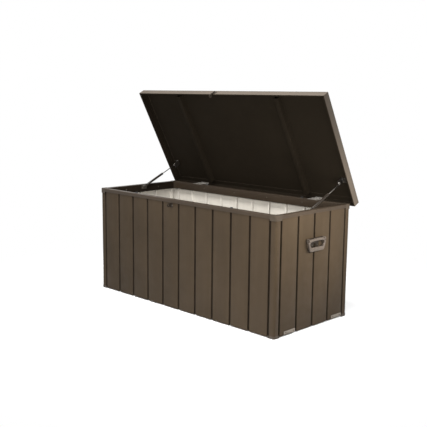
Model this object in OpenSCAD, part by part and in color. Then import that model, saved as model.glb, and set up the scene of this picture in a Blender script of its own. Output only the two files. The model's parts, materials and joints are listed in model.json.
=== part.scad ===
// Deck storage box in folded sheet steel with a board pattern on its walls.
// A hinged lid stands open on two gas struts, and each end wall has a drop handle.
// Millimetres, +Z up. The origin is on the ground, under the centre of the box.
// +X is the right end, -Y is the front. The lid is drawn open.

/* [Overall] */
// Width of one wall board, groove centre to groove centre
board_w = 140; // [130:1:150]
// Height from the ground to the top of the rim
rim_h = 659.4; // [620:0.1:700]
// Opening angle of the lid as drawn
lid_angle = 62.2; // [56:0.1:66]

/* [Walls] */
// Distance from a wall's corner to its first groove
corner_w = 42.3; // [40:0.1:46]
// Thickness of the wall and post sheet
sheet_t = 0.8; // [0.6:0.1:1.2]
// Width of a groove at the wall's face
groove_w = 15; // [12:0.5:17]
// Width of a groove at its floor
groove_floor_w = 9; // [7:0.5:11]
// Depth of a groove
groove_d = 10; // [8:0.5:11]
// Radius of the corner posts
post_r = 12; // [8:1:16]
// Height of the boards' bottom edge above the ground
foot_h = 6; // [4:1:10]

/* [Rim] */
// How far the rim stands out from the walls
rim_lip = 3.5; // [3:0.5:5]
// Width of the rim's flat top
rim_w = 32; // [30:1:36]
// Height of the rim's outer flange
rim_outer_h = 20; // [16:1:26]
// Height of the rim's inner flange
rim_inner_h = 50; // [40:1:56]
// Length of a corner cap along each wall
cap_w = 46; // [44:1:52]

/* [Lid] */
// Length of the lid
lid_l = 1525.2; // [1515:0.1:1535]
// Depth of the lid, front to back
lid_d = 706.4; // [702:0.1:710]
// Height of the lid's edge flanges
lid_edge_h = 43.6; // [40:0.1:46]
// How far the closed lid reaches behind the back wall
lid_back_over = 36.5; // [34:0.1:38]
// Height of the closed lid's top above the rim
lid_rise = 32.2; // [32:0.1:36]
// Distance of the two stiffeners from the centre
stiffener_x = 407; // [380:1:430]

/* [Hinges] */
// Distance of the two hinges from the centre
hinge_x = 494; // [470:1:520]
// Length of a hinge
hinge_l = 72; // [66:1:80]
// Distance of the hinge pin in from the lid's back edge
pin_inset = 12; // [11:0.5:13]
// Distance of the hinge pin below the closed lid's top
pin_drop = 33.4; // [33:0.1:34]

/* [Struts] */
// Distance of the struts' plane from the centre
strut_x = 702; // [698:1:702]
// Place of the strut's lower pivot, front to back
strut_low_y = 12; // [0:1:24]
// Depth of the strut's lower pivot below the rim's top
strut_low_drop = 9.4; // [9:0.1:14]
// Distance of the strut's upper pivot from the lid's back edge
strut_high_s = 147; // [140:1:152]
// Depth of the strut's upper pivot below the closed lid's top
strut_high_t = 38; // [36:1:42]
// Length of the strut from its lower pivot to the end of its tube
tube_end = 173; // [168:1:176]

/* [Handles and lock] */
// Height of the middle of the handles
handle_z = 464; // [400:1:500]
// Distance of the lock lugs from the centre
lug_x = 62; // [40:1:90]
// Radius of the padlock holes
lug_hole_r = 4.5; // [4:0.5:5]

/* [Hidden] */
$fn = 48;
boards_per_panel = 2;
panels_long = 5;
panels_short = 2;
half_l = panels_long * board_w + corner_w;
half_d = panels_short * board_w + corner_w;
wall_len = [2 * half_l, 2 * half_d, 2 * half_l, 2 * half_d];
corner_at = [[-half_l, -half_d], [half_l, -half_d], [half_l, half_d], [-half_l, half_d]];

// Sheet and clearance sizes
rim_t = 1.2;                            // rim, bottom rail and floor sheet
skin_t = 1.0;                           // lid sheet
run_gap = 0.05;                         // radial clearance of a pin in its bore
lap = 9;                                // overlap of two wall panels behind a groove
lap_end = 1.2;                          // how far a groove's floor passes its centre
wall_back = groove_d + 2 * sheet_t;     // depth of the walls' innermost face
rim_in = rim_w - rim_lip;               // depth of the rim's inner face
cap_in = cap_w - rim_lip;               // end of a corner cap along a wall

// Lid, closed
lid_top = rim_h + lid_rise;
lid_back = half_d + lid_back_over;
lid_front = lid_back - lid_d;
lid_low = lid_top - lid_edge_h;
skin_low = lid_top - skin_t;
edge_leg = 30;                          // width of an edge's leg under the skin
edge_hem = 8;                           // width of an edge's turned-in hem
pin_y = lid_back - pin_inset;
pin_z = lid_top - pin_drop;

// Hinges
hinge_t = 2;
pin_r = 3;
knuckle_r = 5;
knuckles = 5;
knuckle_gap = 0.6;
knuckle_pitch = hinge_l / knuckles;
leaf_gap = 0.5;

// Struts: each side's pivots are points [y, z]
strut_low = [strut_low_y, rim_h - strut_low_drop];
strut_high_closed = [lid_back - strut_high_s, lid_top - strut_high_t];
strut_high = opened(strut_high_closed);
strut_line = strut_high - strut_low;
strut_l = norm(strut_line);
strut_tilt = atan2(strut_line[1], strut_line[0]);
stud_r = 4;
eye_r = 8;
eye_t = 5;
tube_r = 7.5;
tube_bore_r = 6.5;
tube_start = 16;
rod_r = 3;
piston_l = 8;
neck_start = 6.5;                       // from the lower eye's centre
open_gap = 0.3;                         // gap beside the rod, where the lid's stud ends

// Floor
floor_z = 26;
floor_in = wall_back + 2.7;
bead_h = 5;
bottom_rail_w = 24;
bottom_rail_h = 40;
beam_w = 60;

// Handles
axis_out = 17;                          // distance of the handle's pivot from the wall
axis_up = 32;                           // height of the pivot above the handle's middle
bail_t = 14;
bail_half = 64;                         // half width of the bail's bar between the ears
bail_shoulder = 78;                     // half width of its arms, just under the ears
bail_low = -30;
grip_h = 22;
ear_t = 8;
ear_r = 9;
trunnion_r = 4;
base_t = 3;
base_screw_y = 22;

// Lock lugs, closed: hole centre
lug_y = lid_front + 1.6;
lug_z = rim_h - 33.4;
lug_r = 11;
lug_t = 3;
lug_side_gap = 1;

// Fasteners
head_r = 4;
head_h = 2.2;
shank_r = 1.9;
screw_hole_r = 2.1;

// Anchor plates on the end walls
anchor_w = 92;
anchor_h = 18;
anchor_z = 10;
anchor_t = 2;
anchor_in = 39;                         // from a board's groove to the plate's end
anchor_screw_in = 14;

steel = [0.74, 0.74, 0.72];
wall_brown = [0.36, 0.31, 0.26];
rim_brown = [0.24, 0.21, 0.17];
lid_brown = [0.27, 0.24, 0.2];
taupe = [0.53, 0.48, 0.42];
black = [0.1, 0.1, 0.1];
zinc = [0.8, 0.79, 0.75];

// ---- Places ----

// A wall's own frame: x along the wall, anticlockwise seen from above, y inwards from
// its face, z up. Walls: 0 front, 1 right, 2 back, 3 left.
module on_wall(side) {
    translate([corner_at[side][0], corner_at[side][1], 0]) rotate([0, 0, 90 * side]) children();
}

// Moves what is drawn on the closed lid to the open lid
module open_lid() {
    translate([0, pin_y, pin_z])
        rotate([-lid_angle, 0, 0])
        translate([0, -pin_y, -pin_z]) children();
}

// The same for one point [y, z] of the closed lid
function opened(p) =
    let (y = p[0] - pin_y, z = p[1] - pin_z)
    [pin_y + y * cos(lid_angle) + z * sin(lid_angle),
     pin_z - y * sin(lid_angle) + z * cos(lid_angle)];

// A strut's own frame: origin at its lower pivot, y along the strut
module on_strut(side) {
    translate([side * strut_x, strut_low[0], strut_low[1]]) rotate([strut_tilt, 0, 0]) children();
}

// A handle's own frame, in its wall's directions: origin on the wall, in the handle's middle
module on_handle(side) {
    on_wall(side) translate([half_d, 0, handle_z]) children();
}

// Turns a profile drawn in x and y, and extruded, to lie in y and z and run along x
module along_x() {
    rotate([90, 0, 90]) children();
}

// Points a screw drawn along z at another direction
module facing(direction) {
    if (direction == "out") rotate([90, 0, 0]) children();
    if (direction == "in") rotate([-90, 0, 0]) children();
}

// ---- Folded sheet ----

function unit(v) = v / norm(v);
function left_of(v) = [-v[1], v[0]];

// Corner i of a path, moved to the path's left by t
function offset_at(path, i, t) =
    let (last = len(path) - 1,
         a = left_of(unit(i == 0 ? path[1] - path[0] : path[i] - path[i - 1])),
         b = i == last ? a : left_of(unit(path[i + 1] - path[i])))
    path[i] + (a + b) * t / (1 + a * b);

// Section of a sheet folded along a path, with its thickness to the path's left
module sheet_section(path, t) {
    polygon(concat(path, [for (i = [len(path) - 1 : -1 : 0]) offset_at(path, i, t)]));
}

// A square with one rounded corner, at the origin
module one_round_square(size, r) {
    union() {
        translate([r, r]) circle(r);
        translate([r, 0]) square([size - r, size]);
        translate([0, r]) square([size, size - r]);
    }
}

// ---- Fasteners ----

// A pan-head screw with a cross recess, its head's underside at z = 0
module screw(shank) {
    difference() {
        union() {
            translate([0, 0, -shank]) cylinder(r = shank_r, h = shank + head_h / 2, $fn = 24);
            cylinder(r1 = head_r, r2 = head_r * 0.7, h = head_h, $fn = 24);
        }
        translate([-0.5, -2, head_h - 0.8]) cube([1, 4, 2]);
        translate([-2, -0.5, head_h - 0.8]) cube([4, 1, 2]);
    }
}

module screw_hole() {
    cylinder(r = screw_hole_r, h = 60, center = true, $fn = 24);
}

// Where the screws sit, with their heads facing +z. Holes use the same places.
module at_rail_screws(side) {
    boards = side % 2 == 0 ? [2, 4, 6, 8] : [1, 3];
    on_wall(side)
        for (k = boards)
            translate([corner_w + board_w * k, rim_in, rim_h - rim_inner_h / 2])
                facing("in") children();
}

module at_hinge_box_screws(side) {
    for (k = [-1 : 1])
        translate([side * hinge_x + k * hinge_l / 3, half_d - 10, rim_h + hinge_t]) children();
}

module at_hinge_lid_screws(side) {
    for (k = [-1 : 1])
        translate([side * hinge_x + k * hinge_l / 3, lid_back - skin_t - hinge_t, lid_top - 14])
            facing("out") children();
}

module at_strut_box_screws(side) {
    for (k = [-1, 1])
        translate([side * (half_l - rim_in - 2.5), strut_low[0] + k * 14, strut_low[1] - 14])
            rotate([0, -90 * side, 0]) children();
}

module at_strut_lid_screws(side) {
    for (k = [-1, 1])
        translate([side * (strut_x + 6), strut_high_closed[0] + k * 10, skin_low - hinge_t])
            rotate([180, 0, 0]) children();
}

module at_handle_screws(side) {
    on_handle(side)
        for (k = [-1, 1])
            translate([k * base_screw_y, -base_t, 1]) facing("out") children();
}

module at_anchor_plates() {
    for (side = [1, 3])
        for (board = [0, 3])
            on_wall(side)
                translate([anchor_start(side, board), -anchor_t, anchor_z]) children();
}

// The left wall's plates mirror the right wall's
function anchor_start(side, board) =
    let (start = corner_w + board * board_w + anchor_in)
    side == 1 ? start : 2 * half_d - start - anchor_w;

module at_anchor_screws() {
    at_anchor_plates()
        for (x = [anchor_screw_in, anchor_w - anchor_screw_in])
            translate([x, 0, anchor_h / 2]) facing("out") children();
}

module at_lug_box_screws() {
    for (k = [-1, 1])
        translate([-lug_x + k * 9, -half_d - hinge_t, lug_z - 3]) facing("out") children();
}

module at_lug_lid_screws() {
    for (k = [-1, 1])
        translate([-lug_x - lug_t - lug_side_gap + k * 9, lid_front - hinge_t, lid_low + 17])
            facing("out") children();
}

// ---- Walls ----

// Path of one panel's outer face: a tongue behind the last groove, two boards with a
// groove between them, and the floor of the next groove
function panel_path(start) = [
    [start - lap, groove_d + sheet_t],
    [start + groove_floor_w / 2, groove_d + sheet_t],
    [start + groove_w / 2, 0],
    [start + board_w - groove_w / 2, 0],
    [start + board_w - groove_floor_w / 2, groove_d],
    [start + board_w + groove_floor_w / 2, groove_d],
    [start + board_w + groove_w / 2, 0],
    [start + boards_per_panel * board_w - groove_w / 2, 0],
    [start + boards_per_panel * board_w - groove_floor_w / 2, groove_d],
    [start + boards_per_panel * board_w + lap_end, groove_d]
];

panel_h = rim_h - rim_t - 1 - foot_h;

// Panel number index of a wall, counted anticlockwise from 1
module wall_panel(side, index) {
    start = corner_w + (index - 1) * boards_per_panel * board_w;
    color(wall_brown)
        difference() {
            on_wall(side)
                translate([0, 0, foot_h])
                linear_extrude(panel_h) sheet_section(panel_path(start), sheet_t);
            if (side % 2 == 1) at_handle_screws(side) screw_hole();
            if (side % 2 == 1) at_anchor_screws() screw_hole();
            if (side == 0) at_lug_box_screws() screw_hole();
        }
}

// Corner post: two legs and a round corner, with a tongue behind the wall on one side
// and a groove floor on the other
module post(side) {
    leg_end = corner_w - groove_w / 2;
    floor_start = corner_w - groove_floor_w / 2;
    tongue = groove_d + sheet_t;
    color(wall_brown)
        on_wall(side)
        translate([0, 0, foot_h])
        linear_extrude(panel_h - 2)
        union() {
            sheet_section([[tongue, corner_w + lap], [tongue, floor_start],
                           [0, leg_end], [0, post_r]], sheet_t);
            sheet_section([[post_r, 0], [leg_end, 0], [floor_start, groove_d],
                           [corner_w + lap_end, groove_d]], sheet_t);
            intersection() {
                difference() {
                    translate([post_r, post_r]) circle(post_r);
                    translate([post_r, post_r]) circle(post_r - sheet_t);
                }
                square(post_r);
            }
        }
}

// ---- Rim ----

module top_rail(side) {
    path = [[wall_back + 0.2, rim_h - rim_inner_h], [rim_in, rim_h - rim_inner_h],
            [rim_in, rim_h], [-rim_lip, rim_h], [-rim_lip, rim_h - rim_outer_h]];
    color(rim_brown)
        difference() {
            on_wall(side)
                translate([cap_in + 0.2, 0, 0]) along_x()
                linear_extrude(wall_len[side] - 2 * cap_in - 0.4) sheet_section(path, rim_t);
            at_rail_screws(side) screw_hole();
            if (side == 2) for (s = [-1, 1]) at_hinge_box_screws(s) screw_hole();
            if (side % 2 == 1) at_strut_box_screws(2 - side) screw_hole();
        }
}

// One corner cap: a rounded top plate with an outer skirt and an inner flange
module corner_cap(side) {
    cap_t = 2;
    skirt_h = rim_outer_h + 9;
    cap_out = rim_lip + 0.5;
    size = cap_out + cap_in;
    inner = size - (cap_in - rim_in);
    on_wall(side) translate([-cap_out, -cap_out, 0]) {
        translate([0, 0, rim_h - cap_t])
            linear_extrude(cap_t + 0.8)
            difference() {
                one_round_square(size, post_r + cap_out);
                translate([inner, inner]) square(size);
            }
        translate([0, 0, rim_h - skirt_h])
            linear_extrude(skirt_h - cap_t)
            difference() {
                one_round_square(size, post_r + cap_out);
                translate([cap_t, cap_t]) one_round_square(size, post_r + cap_out - cap_t);
            }
        translate([0, 0, rim_h - rim_inner_h])
            linear_extrude(rim_inner_h - cap_t)
            difference() {
                translate([inner - rim_t, inner - rim_t]) square(size - inner + rim_t);
                translate([inner, inner]) square(size);
            }
    }
}

module corner_caps() {
    color(taupe) for (side = [0 : 3]) corner_cap(side);
}

// ---- Base ----

module bottom_rail(side) {
    back = wall_back + 0.2;
    path = [[back, foot_h + bottom_rail_h], [back, foot_h],
            [back + bottom_rail_w, foot_h], [back + bottom_rail_w, floor_z]];
    end = back + bottom_rail_w + 14;
    color(rim_brown)
        on_wall(side)
        translate([end, 0, 0]) along_x()
        difference() {
            linear_extrude(wall_len[side] - 2 * end) sheet_section(path, rim_t);
            // Drain slot
            if (side % 2 == 0)
                translate([back + 8, foot_h - 1, half_l - end - 20]) cube([8, 4, 40]);
        }
}

// One foot: a rounded pad under the post with a low skirt around it
module foot(side) {
    out = 2;
    size = corner_w + out;
    on_wall(side) translate([-out, -out, 0]) {
        linear_extrude(foot_h - 0.2) one_round_square(size, post_r + out);
        linear_extrude(foot_h + 9)
            difference() {
                one_round_square(size, post_r + out);
                translate([out - 0.2, out - 0.2]) one_round_square(size, post_r + 0.2);
            }
    }
}

module feet() {
    color(rim_brown) for (side = [0 : 3]) foot(side);
}

// Half of the floor, with a raised bead under every board
module floor_panel(side) {
    first = side < 0 ? -half_l + floor_in : 0.2;
    last = side < 0 ? -0.2 : half_l - floor_in;
    beads = [for (k = [0 : panels_long - 1]) (side < 0 ? k - panels_long : k) * board_w + board_w / 2];
    path = concat([[first, floor_z + 0.1]],
                  [for (c = beads) each [[c - 14, floor_z + 0.1], [c - 9, floor_z + bead_h],
                                         [c + 9, floor_z + bead_h], [c + 14, floor_z + 0.1]]],
                  [[last, floor_z + 0.1]]);
    color([0.8, 0.77, 0.7])
        translate([0, half_d - floor_in, 0])
        rotate([90, 0, 0])
        linear_extrude(2 * (half_d - floor_in)) sheet_section(path, rim_t);
}

// Box-section beam under the floor's joint, standing on the ground
module floor_beam() {
    length = 2 * (half_d - wall_back - bottom_rail_w - 1);
    color(rim_brown)
        difference() {
            translate([-beam_w / 2, -length / 2, 0]) cube([beam_w, length, floor_z]);
            translate([-beam_w / 2 + 2, -length, 2]) cube([beam_w - 4, 2 * length, floor_z - 4]);
        }
}

// ---- Lid ----

module lid_panel() {
    color(lid_brown)
        open_lid()
        translate([-lid_l / 2, lid_front, skin_low]) cube([lid_l, lid_d, skin_t]);
}

// Path of an edge, drawn for the front: a leg under the skin, the flange and the hem
function edge_path(front) = [
    [front + edge_leg, skin_low], [front, skin_low], [front, lid_low], [front + edge_hem, lid_low]
];

module lid_edge_front() {
    color(lid_brown)
        difference() {
            open_lid()
                translate([-lid_l / 2, 0, 0]) along_x()
                linear_extrude(lid_l) sheet_section(edge_path(lid_front), skin_t);
            open_lid() at_lug_lid_screws() screw_hole();
        }
}

module lid_edge_back() {
    color(lid_brown)
        difference() {
            open_lid()
                translate([lid_l / 2, 0, 0]) rotate([0, 0, 180]) along_x()
                linear_extrude(lid_l) sheet_section(edge_path(-lid_back), skin_t);
            open_lid() for (s = [-1, 1]) at_hinge_lid_screws(s) screw_hole();
        }
}

// A side edge fits between the front and back edges
module lid_edge_side(side) {
    gap = skin_t + 0.2;
    start = side > 0 ? lid_front + gap : -lid_back + gap;
    color(lid_brown)
        open_lid()
        difference() {
            rotate([0, 0, side * 90])
                translate([start, 0, 0]) along_x()
                linear_extrude(lid_d - 2 * gap) sheet_section(edge_path(-lid_l / 2), skin_t);
            // Notches for the legs and hems of the front and back edges
            for (y = [lid_front, lid_back]) {
                translate([-lid_l / 2 - 1, y - edge_leg - 0.2, skin_low - skin_t - 0.1])
                    cube([lid_l + 2, 2 * edge_leg + 0.4, skin_t + 1]);
                translate([-lid_l / 2 - 1, y - edge_hem - 0.2, lid_low - 1])
                    cube([lid_l + 2, 2 * edge_hem + 0.4, skin_t + 1.1]);
            }
        }
}

// Hat-section stiffener under the skin, between the front and back edges
module lid_stiffener(side) {
    top = skin_low - skin_t;
    depth = 25.2;
    path = [[-30, top], [-18, top], [-14, top - depth], [14, top - depth], [18, top], [30, top]];
    color(lid_brown)
        open_lid()
        translate([side * stiffener_x, lid_back - edge_leg - 0.5, 0])
        rotate([90, 0, 0])
        linear_extrude(lid_d - 2 * edge_leg - 1) sheet_section(path, skin_t);
}

// ---- Hinges ----

// Knuckles first, first + 2 and so on, around the pin
module knuckle_row(side, first) {
    for (k = [first : 2 : knuckles - 1])
        translate([side * hinge_x - hinge_l / 2 + k * knuckle_pitch + knuckle_gap / 2, pin_y, pin_z])
            rotate([0, 90, 0]) cylinder(r = knuckle_r, h = knuckle_pitch - knuckle_gap);
}

module knuckle_arms(side, first, y0, y1, z0) {
    for (k = [first : 2 : knuckles - 1])
        translate([side * hinge_x - hinge_l / 2 + k * knuckle_pitch + knuckle_gap / 2, y0, z0])
            cube([knuckle_pitch - knuckle_gap, y1 - y0, hinge_t]);
}

module pin_bore(side) {
    translate([side * hinge_x, pin_y, pin_z])
        rotate([0, 90, 0]) cylinder(r = pin_r + run_gap, h = hinge_l + 10, center = true);
}

// Leaf on the back rail, with the outer knuckles
module hinge_leaf_box(side) {
    front = half_d - 24;
    back = pin_y - knuckle_r - leaf_gap;
    color(steel)
        difference() {
            union() {
                knuckle_row(side, 0);
                knuckle_arms(side, 0, back - 0.1, pin_y, rim_h);
                translate([side * hinge_x - hinge_l / 2, front, rim_h])
                    cube([hinge_l, back - front, hinge_t]);
            }
            pin_bore(side);
            at_hinge_box_screws(side) screw_hole();
        }
}

// Leaf on the lid's back flange, with the inner knuckles
module hinge_leaf_lid(side) {
    face = lid_back - skin_t;
    color(steel)
        open_lid()
        difference() {
            union() {
                knuckle_row(side, 1);
                knuckle_arms(side, 1, pin_y, face, pin_z - hinge_t / 2);
                translate([side * hinge_x - hinge_l / 2, face - hinge_t, pin_z - hinge_t / 2])
                    cube([hinge_l, hinge_t, skin_low - skin_t - 1 - pin_z + hinge_t / 2]);
            }
            pin_bore(side);
            at_hinge_lid_screws(side) screw_hole();
        }
}

// Headed pins, one through each hinge
module hinge_pins() {
    head_t = 1.5;
    color(steel)
        for (side = [-1, 1])
            translate([side * hinge_x, pin_y, pin_z])
                rotate([0, 90, 0])
                union() {
                    cylinder(r = pin_r, h = hinge_l + 1, center = true);
                    for (s = [-1, 1])
                        translate([0, 0, s * (hinge_l / 2 + head_t / 2)])
                            cylinder(r = pin_r + 1.4, h = head_t, center = true);
                }
}

// ---- Struts ----

// Bracket on an end rail, with the strut's lower stud
module strut_box_mount(side) {
    plate_t = 2.5;
    face = half_l - rim_in;
    difference() {
        union() {
            translate([side * (face - plate_t / 2), strut_low[0], strut_low[1] - 6])
                cube([plate_t, 44, 30], center = true);
            translate([side * face, strut_low[0], strut_low[1]])
                rotate([0, -90 * side, 0]) {
                    cylinder(r = stud_r, h = face - strut_x + eye_t / 2 + 3);
                    cylinder(r = 6, h = face - strut_x - eye_t / 2 - 0.3);
                    translate([0, 0, face - strut_x + eye_t / 2 + 0.3]) cylinder(r = 6, h = 2);
                }
        }
        at_strut_box_screws(side) screw_hole();
    }
}

module strut_box_mounts() {
    color(steel) for (side = [-1, 1]) strut_box_mount(side);
}

// Angle bracket under the lid, with the strut's upper stud. The stud stops just beside
// the rod.
module strut_lid_mount(side) {
    plate_t = 2.5;
    plate_in = strut_x - 12;
    stud_l = strut_x - rod_r - open_gap - plate_in - plate_t;
    low = strut_high_closed[1] - 8;
    difference() {
        union() {
            translate([side * (plate_in + plate_t / 2), strut_high_closed[0], (low + skin_low) / 2])
                cube([plate_t, 32, skin_low - low], center = true);
            translate([side * (plate_in + 14), strut_high_closed[0], skin_low - hinge_t / 2])
                cube([28, 32, hinge_t], center = true);
            translate([side * (plate_in + plate_t), strut_high_closed[0], strut_high_closed[1]])
                rotate([0, 90 * side, 0]) {
                    cylinder(r = stud_r, h = stud_l);
                    cylinder(r = 6, h = stud_l - 2);
                }
        }
        at_strut_lid_screws(side) screw_hole();
    }
}

module strut_lid_mounts() {
    color(steel) open_lid() for (side = [-1, 1]) strut_lid_mount(side);
}

// Tube with the lower eye. The rod runs through a gland at its end.
module strut_cylinder(side) {
    color(black)
        on_strut(side)
        difference() {
            union() {
                rotate([0, 90, 0]) cylinder(r = eye_r, h = eye_t, center = true);
                translate([0, neck_start, 0])
                    rotate([-90, 0, 0]) cylinder(r = 4, h = tube_start + 1 - neck_start);
                translate([0, tube_start, 0])
                    rotate([-90, 0, 0]) cylinder(r = tube_r, h = tube_end - tube_start);
            }
            rotate([0, 90, 0]) cylinder(r = stud_r + run_gap, h = 20, center = true);
            translate([0, tube_start + 3, 0])
                rotate([-90, 0, 0]) cylinder(r = tube_bore_r, h = tube_end - tube_start - 13);
            translate([0, tube_start + 10, 0])
                rotate([-90, 0, 0]) cylinder(r = rod_r + run_gap, h = tube_end);
        }
}

// Rod with its piston and upper eye, drawn fully out
module strut_rod(side) {
    piston_at = tube_end - 12 - piston_l;
    color(steel)
        on_strut(side)
        difference() {
            union() {
                translate([0, piston_at, 0])
                    rotate([-90, 0, 0]) cylinder(r = tube_bore_r - run_gap, h = piston_l);
                translate([0, piston_at, 0])
                    rotate([-90, 0, 0]) cylinder(r = rod_r, h = strut_l - eye_r - piston_at + 2);
                translate([0, strut_l, 0]) rotate([0, 90, 0]) cylinder(r = eye_r, h = eye_t, center = true);
            }
            translate([0, strut_l, 0])
                rotate([0, 90, 0]) cylinder(r = stud_r + run_gap, h = 20, center = true);
        }
}

// ---- Handles ----

// Base: a strip with two ears for the bail's trunnions, two screw lobes and a round stop
module handle_base(side) {
    half = bail_half + 0.4 + ear_t;
    color(taupe)
        difference() {
            on_handle(side)
                difference() {
                    union() {
                        translate([-half, -base_t, axis_up - ear_r]) cube([2 * half, base_t, 2 * ear_r]);
                        for (s = [-1, 1]) {
                            translate([s * base_screw_y - 14, -base_t, -10])
                                cube([28, base_t, axis_up - ear_r + 10.1]);
                            translate([s * (half - ear_t / 2), -axis_out, axis_up])
                                rotate([0, 90, 0]) cylinder(r = ear_r, h = ear_t, center = true);
                            translate([s * (half - ear_t / 2) - ear_t / 2, -axis_out, axis_up - ear_r])
                                cube([ear_t, axis_out, 2 * ear_r]);
                        }
                        translate([0, 0, axis_up - 4])
                            rotate([90, 0, 0]) cylinder(r = 18, h = base_t + 1);
                    }
                    translate([0, -axis_out, axis_up])
                        rotate([0, 90, 0])
                        cylinder(r = trunnion_r + run_gap, h = 2 * half + 2, center = true);
                    translate([-30, -20, axis_up + ear_r]) cube([60, 30, 20]);
                }
            at_handle_screws(side) screw_hole();
        }
}

// Points of a shallow arch from left to right: its half width, its ends' height and its rise
function arch(half, height, rise) = [for (t = [-1 : 0.125 : 1]) [t * half, height + rise * (1 - t * t)]];

// Bail: a tapering loop with an arched top bar and a thick grip, hanging from two
// trunnions. Its arms widen to shoulders under the ears of the base.
module handle_bail(side) {
    shoulder_z = axis_up - ear_r - 1;
    outer = concat(arch(bail_half, axis_up + 4, 5.5),
                   [[bail_half, shoulder_z], [bail_shoulder, shoulder_z],
                    [63, bail_low + 8], [54, bail_low], [-54, bail_low], [-63, bail_low + 8],
                    [-bail_shoulder, shoulder_z], [-bail_half, shoulder_z]]);
    inner = concat(arch(56, axis_up - 9, 4),
                   [[64, axis_up - 19], [51, bail_low + grip_h],
                    [-51, bail_low + grip_h], [-64, axis_up - 19]]);
    color(taupe)
        on_handle(side)
        union() {
            translate([0, -axis_out + bail_t / 2, 0])
                rotate([90, 0, 0])
                linear_extrude(bail_t)
                difference() {
                    polygon(outer);
                    polygon(inner);
                }
            translate([0, -axis_out, axis_up])
                rotate([0, 90, 0])
                cylinder(r = trunnion_r, h = 2 * (bail_half + ear_t), center = true);
        }
}

// ---- Lock lugs and anchor plates ----

// Outline of a lug around its hole, in y and z, reaching a straight bar
module lug_plate(x, bar_at, bar_size) {
    translate([x - lug_t / 2, 0, 0])
        along_x()
        linear_extrude(lug_t)
        difference() {
            union() {
                translate([lug_y, lug_z]) circle(lug_r);
                translate(bar_at) square(bar_size);
            }
            translate([lug_y, lug_z]) circle(lug_hole_r);
        }
}

// Lug on the front wall
module lock_lug_box() {
    color(rim_brown)
        difference() {
            union() {
                lug_plate(-lug_x, [lug_y, lug_z - lug_r], [-half_d - lug_y, 2 * lug_r]);
                translate([-lug_x - 14, -half_d - hinge_t, lug_z - 14]) cube([28, hinge_t, 26]);
            }
            at_lug_box_screws() screw_hole();
        }
}

// Lug on the lid's front edge. It hangs beside the wall's lug when the lid is closed.
module lock_lug_lid() {
    x = -lug_x - lug_t - lug_side_gap;
    bar_w = lug_r - 3;
    color(rim_brown)
        open_lid()
        difference() {
            union() {
                lug_plate(x, [lug_y - lug_r, lug_z], [bar_w, lid_low + 24 - lug_z]);
                translate([x - 14, lid_front - hinge_t, lid_low + 4]) cube([28, hinge_t, 26]);
            }
            at_lug_lid_screws() screw_hole();
        }
}

module anchor_plates() {
    color(zinc)
        difference() {
            at_anchor_plates() cube([anchor_w, anchor_t, anchor_h]);
            at_anchor_screws() screw_hole();
        }
}

// ---- Small parts ----

// Buffers on the rim, under the ends of the lid's stiffeners
module rubber_buffers() {
    height = lid_rise - 2 * skin_t - 25.2 - 0.4;
    color(black)
        for (x = [-stiffener_x, stiffener_x])
            for (y = [-half_d + 18, half_d - 13])
                translate([x, y, rim_h]) cylinder(r = 8, h = height);
}

module box_screws() {
    color(zinc) {
        for (side = [0 : 3]) at_rail_screws(side) screw(9);
        for (side = [-1, 1]) {
            at_hinge_box_screws(side) screw(9);
            at_strut_box_screws(side) screw(9);
        }
        for (side = [1, 3]) at_handle_screws(side) screw(10);
        at_anchor_screws() screw(7);
        at_lug_box_screws() screw(7);
    }
}

module lid_screws() {
    color(zinc)
        open_lid() {
            for (side = [-1, 1]) {
                at_hinge_lid_screws(side) screw(hinge_t + skin_t);
                at_strut_lid_screws(side) screw(hinge_t);
            }
            at_lug_lid_screws() screw(6);
        }
}

// ---- Assembly ----

post(0);  // post_front_left
post(1);  // post_front_right
post(2);  // post_back_right
post(3);  // post_back_left
wall_panel(0, 1);  // front_panel_1
wall_panel(0, 2);  // front_panel_2
wall_panel(0, 3);  // front_panel_3
wall_panel(0, 4);  // front_panel_4
wall_panel(0, 5);  // front_panel_5
wall_panel(2, 1);  // back_panel_1
wall_panel(2, 2);  // back_panel_2
wall_panel(2, 3);  // back_panel_3
wall_panel(2, 4);  // back_panel_4
wall_panel(2, 5);  // back_panel_5
wall_panel(1, 1);  // right_panel_1
wall_panel(1, 2);  // right_panel_2
wall_panel(3, 1);  // left_panel_1
wall_panel(3, 2);  // left_panel_2
top_rail(0);  // top_rail_front
top_rail(1);  // top_rail_right
top_rail(2);  // top_rail_back
top_rail(3);  // top_rail_left
bottom_rail(0);  // bottom_rail_front
bottom_rail(1);  // bottom_rail_right
bottom_rail(2);  // bottom_rail_back
bottom_rail(3);  // bottom_rail_left
corner_caps();
feet();
floor_panel(-1);  // floor_panel_left
floor_panel(1);  // floor_panel_right
floor_beam();
lid_panel();
lid_edge_front();
lid_edge_back();
lid_edge_side(-1);  // lid_edge_left
lid_edge_side(1);  // lid_edge_right
lid_stiffener(-1);  // lid_stiffener_left
lid_stiffener(1);  // lid_stiffener_right
hinge_leaf_box(-1);  // hinge_leaf_box_left
hinge_leaf_box(1);  // hinge_leaf_box_right
hinge_leaf_lid(-1);  // hinge_leaf_lid_left
hinge_leaf_lid(1);  // hinge_leaf_lid_right
hinge_pins();
strut_box_mounts();
strut_lid_mounts();
strut_cylinder(-1);  // strut_cylinder_left
strut_cylinder(1);  // strut_cylinder_right
strut_rod(-1);  // strut_rod_left
strut_rod(1);  // strut_rod_right
handle_base(3);  // handle_base_left
handle_base(1);  // handle_base_right
handle_bail(3);  // handle_bail_left
handle_bail(1);  // handle_bail_right
lock_lug_box();
lock_lug_lid();
anchor_plates();
rubber_buffers();
box_screws();
lid_screws();
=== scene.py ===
import json
import math

import bmesh
import bpy
from mathutils import Matrix, Vector


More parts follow.
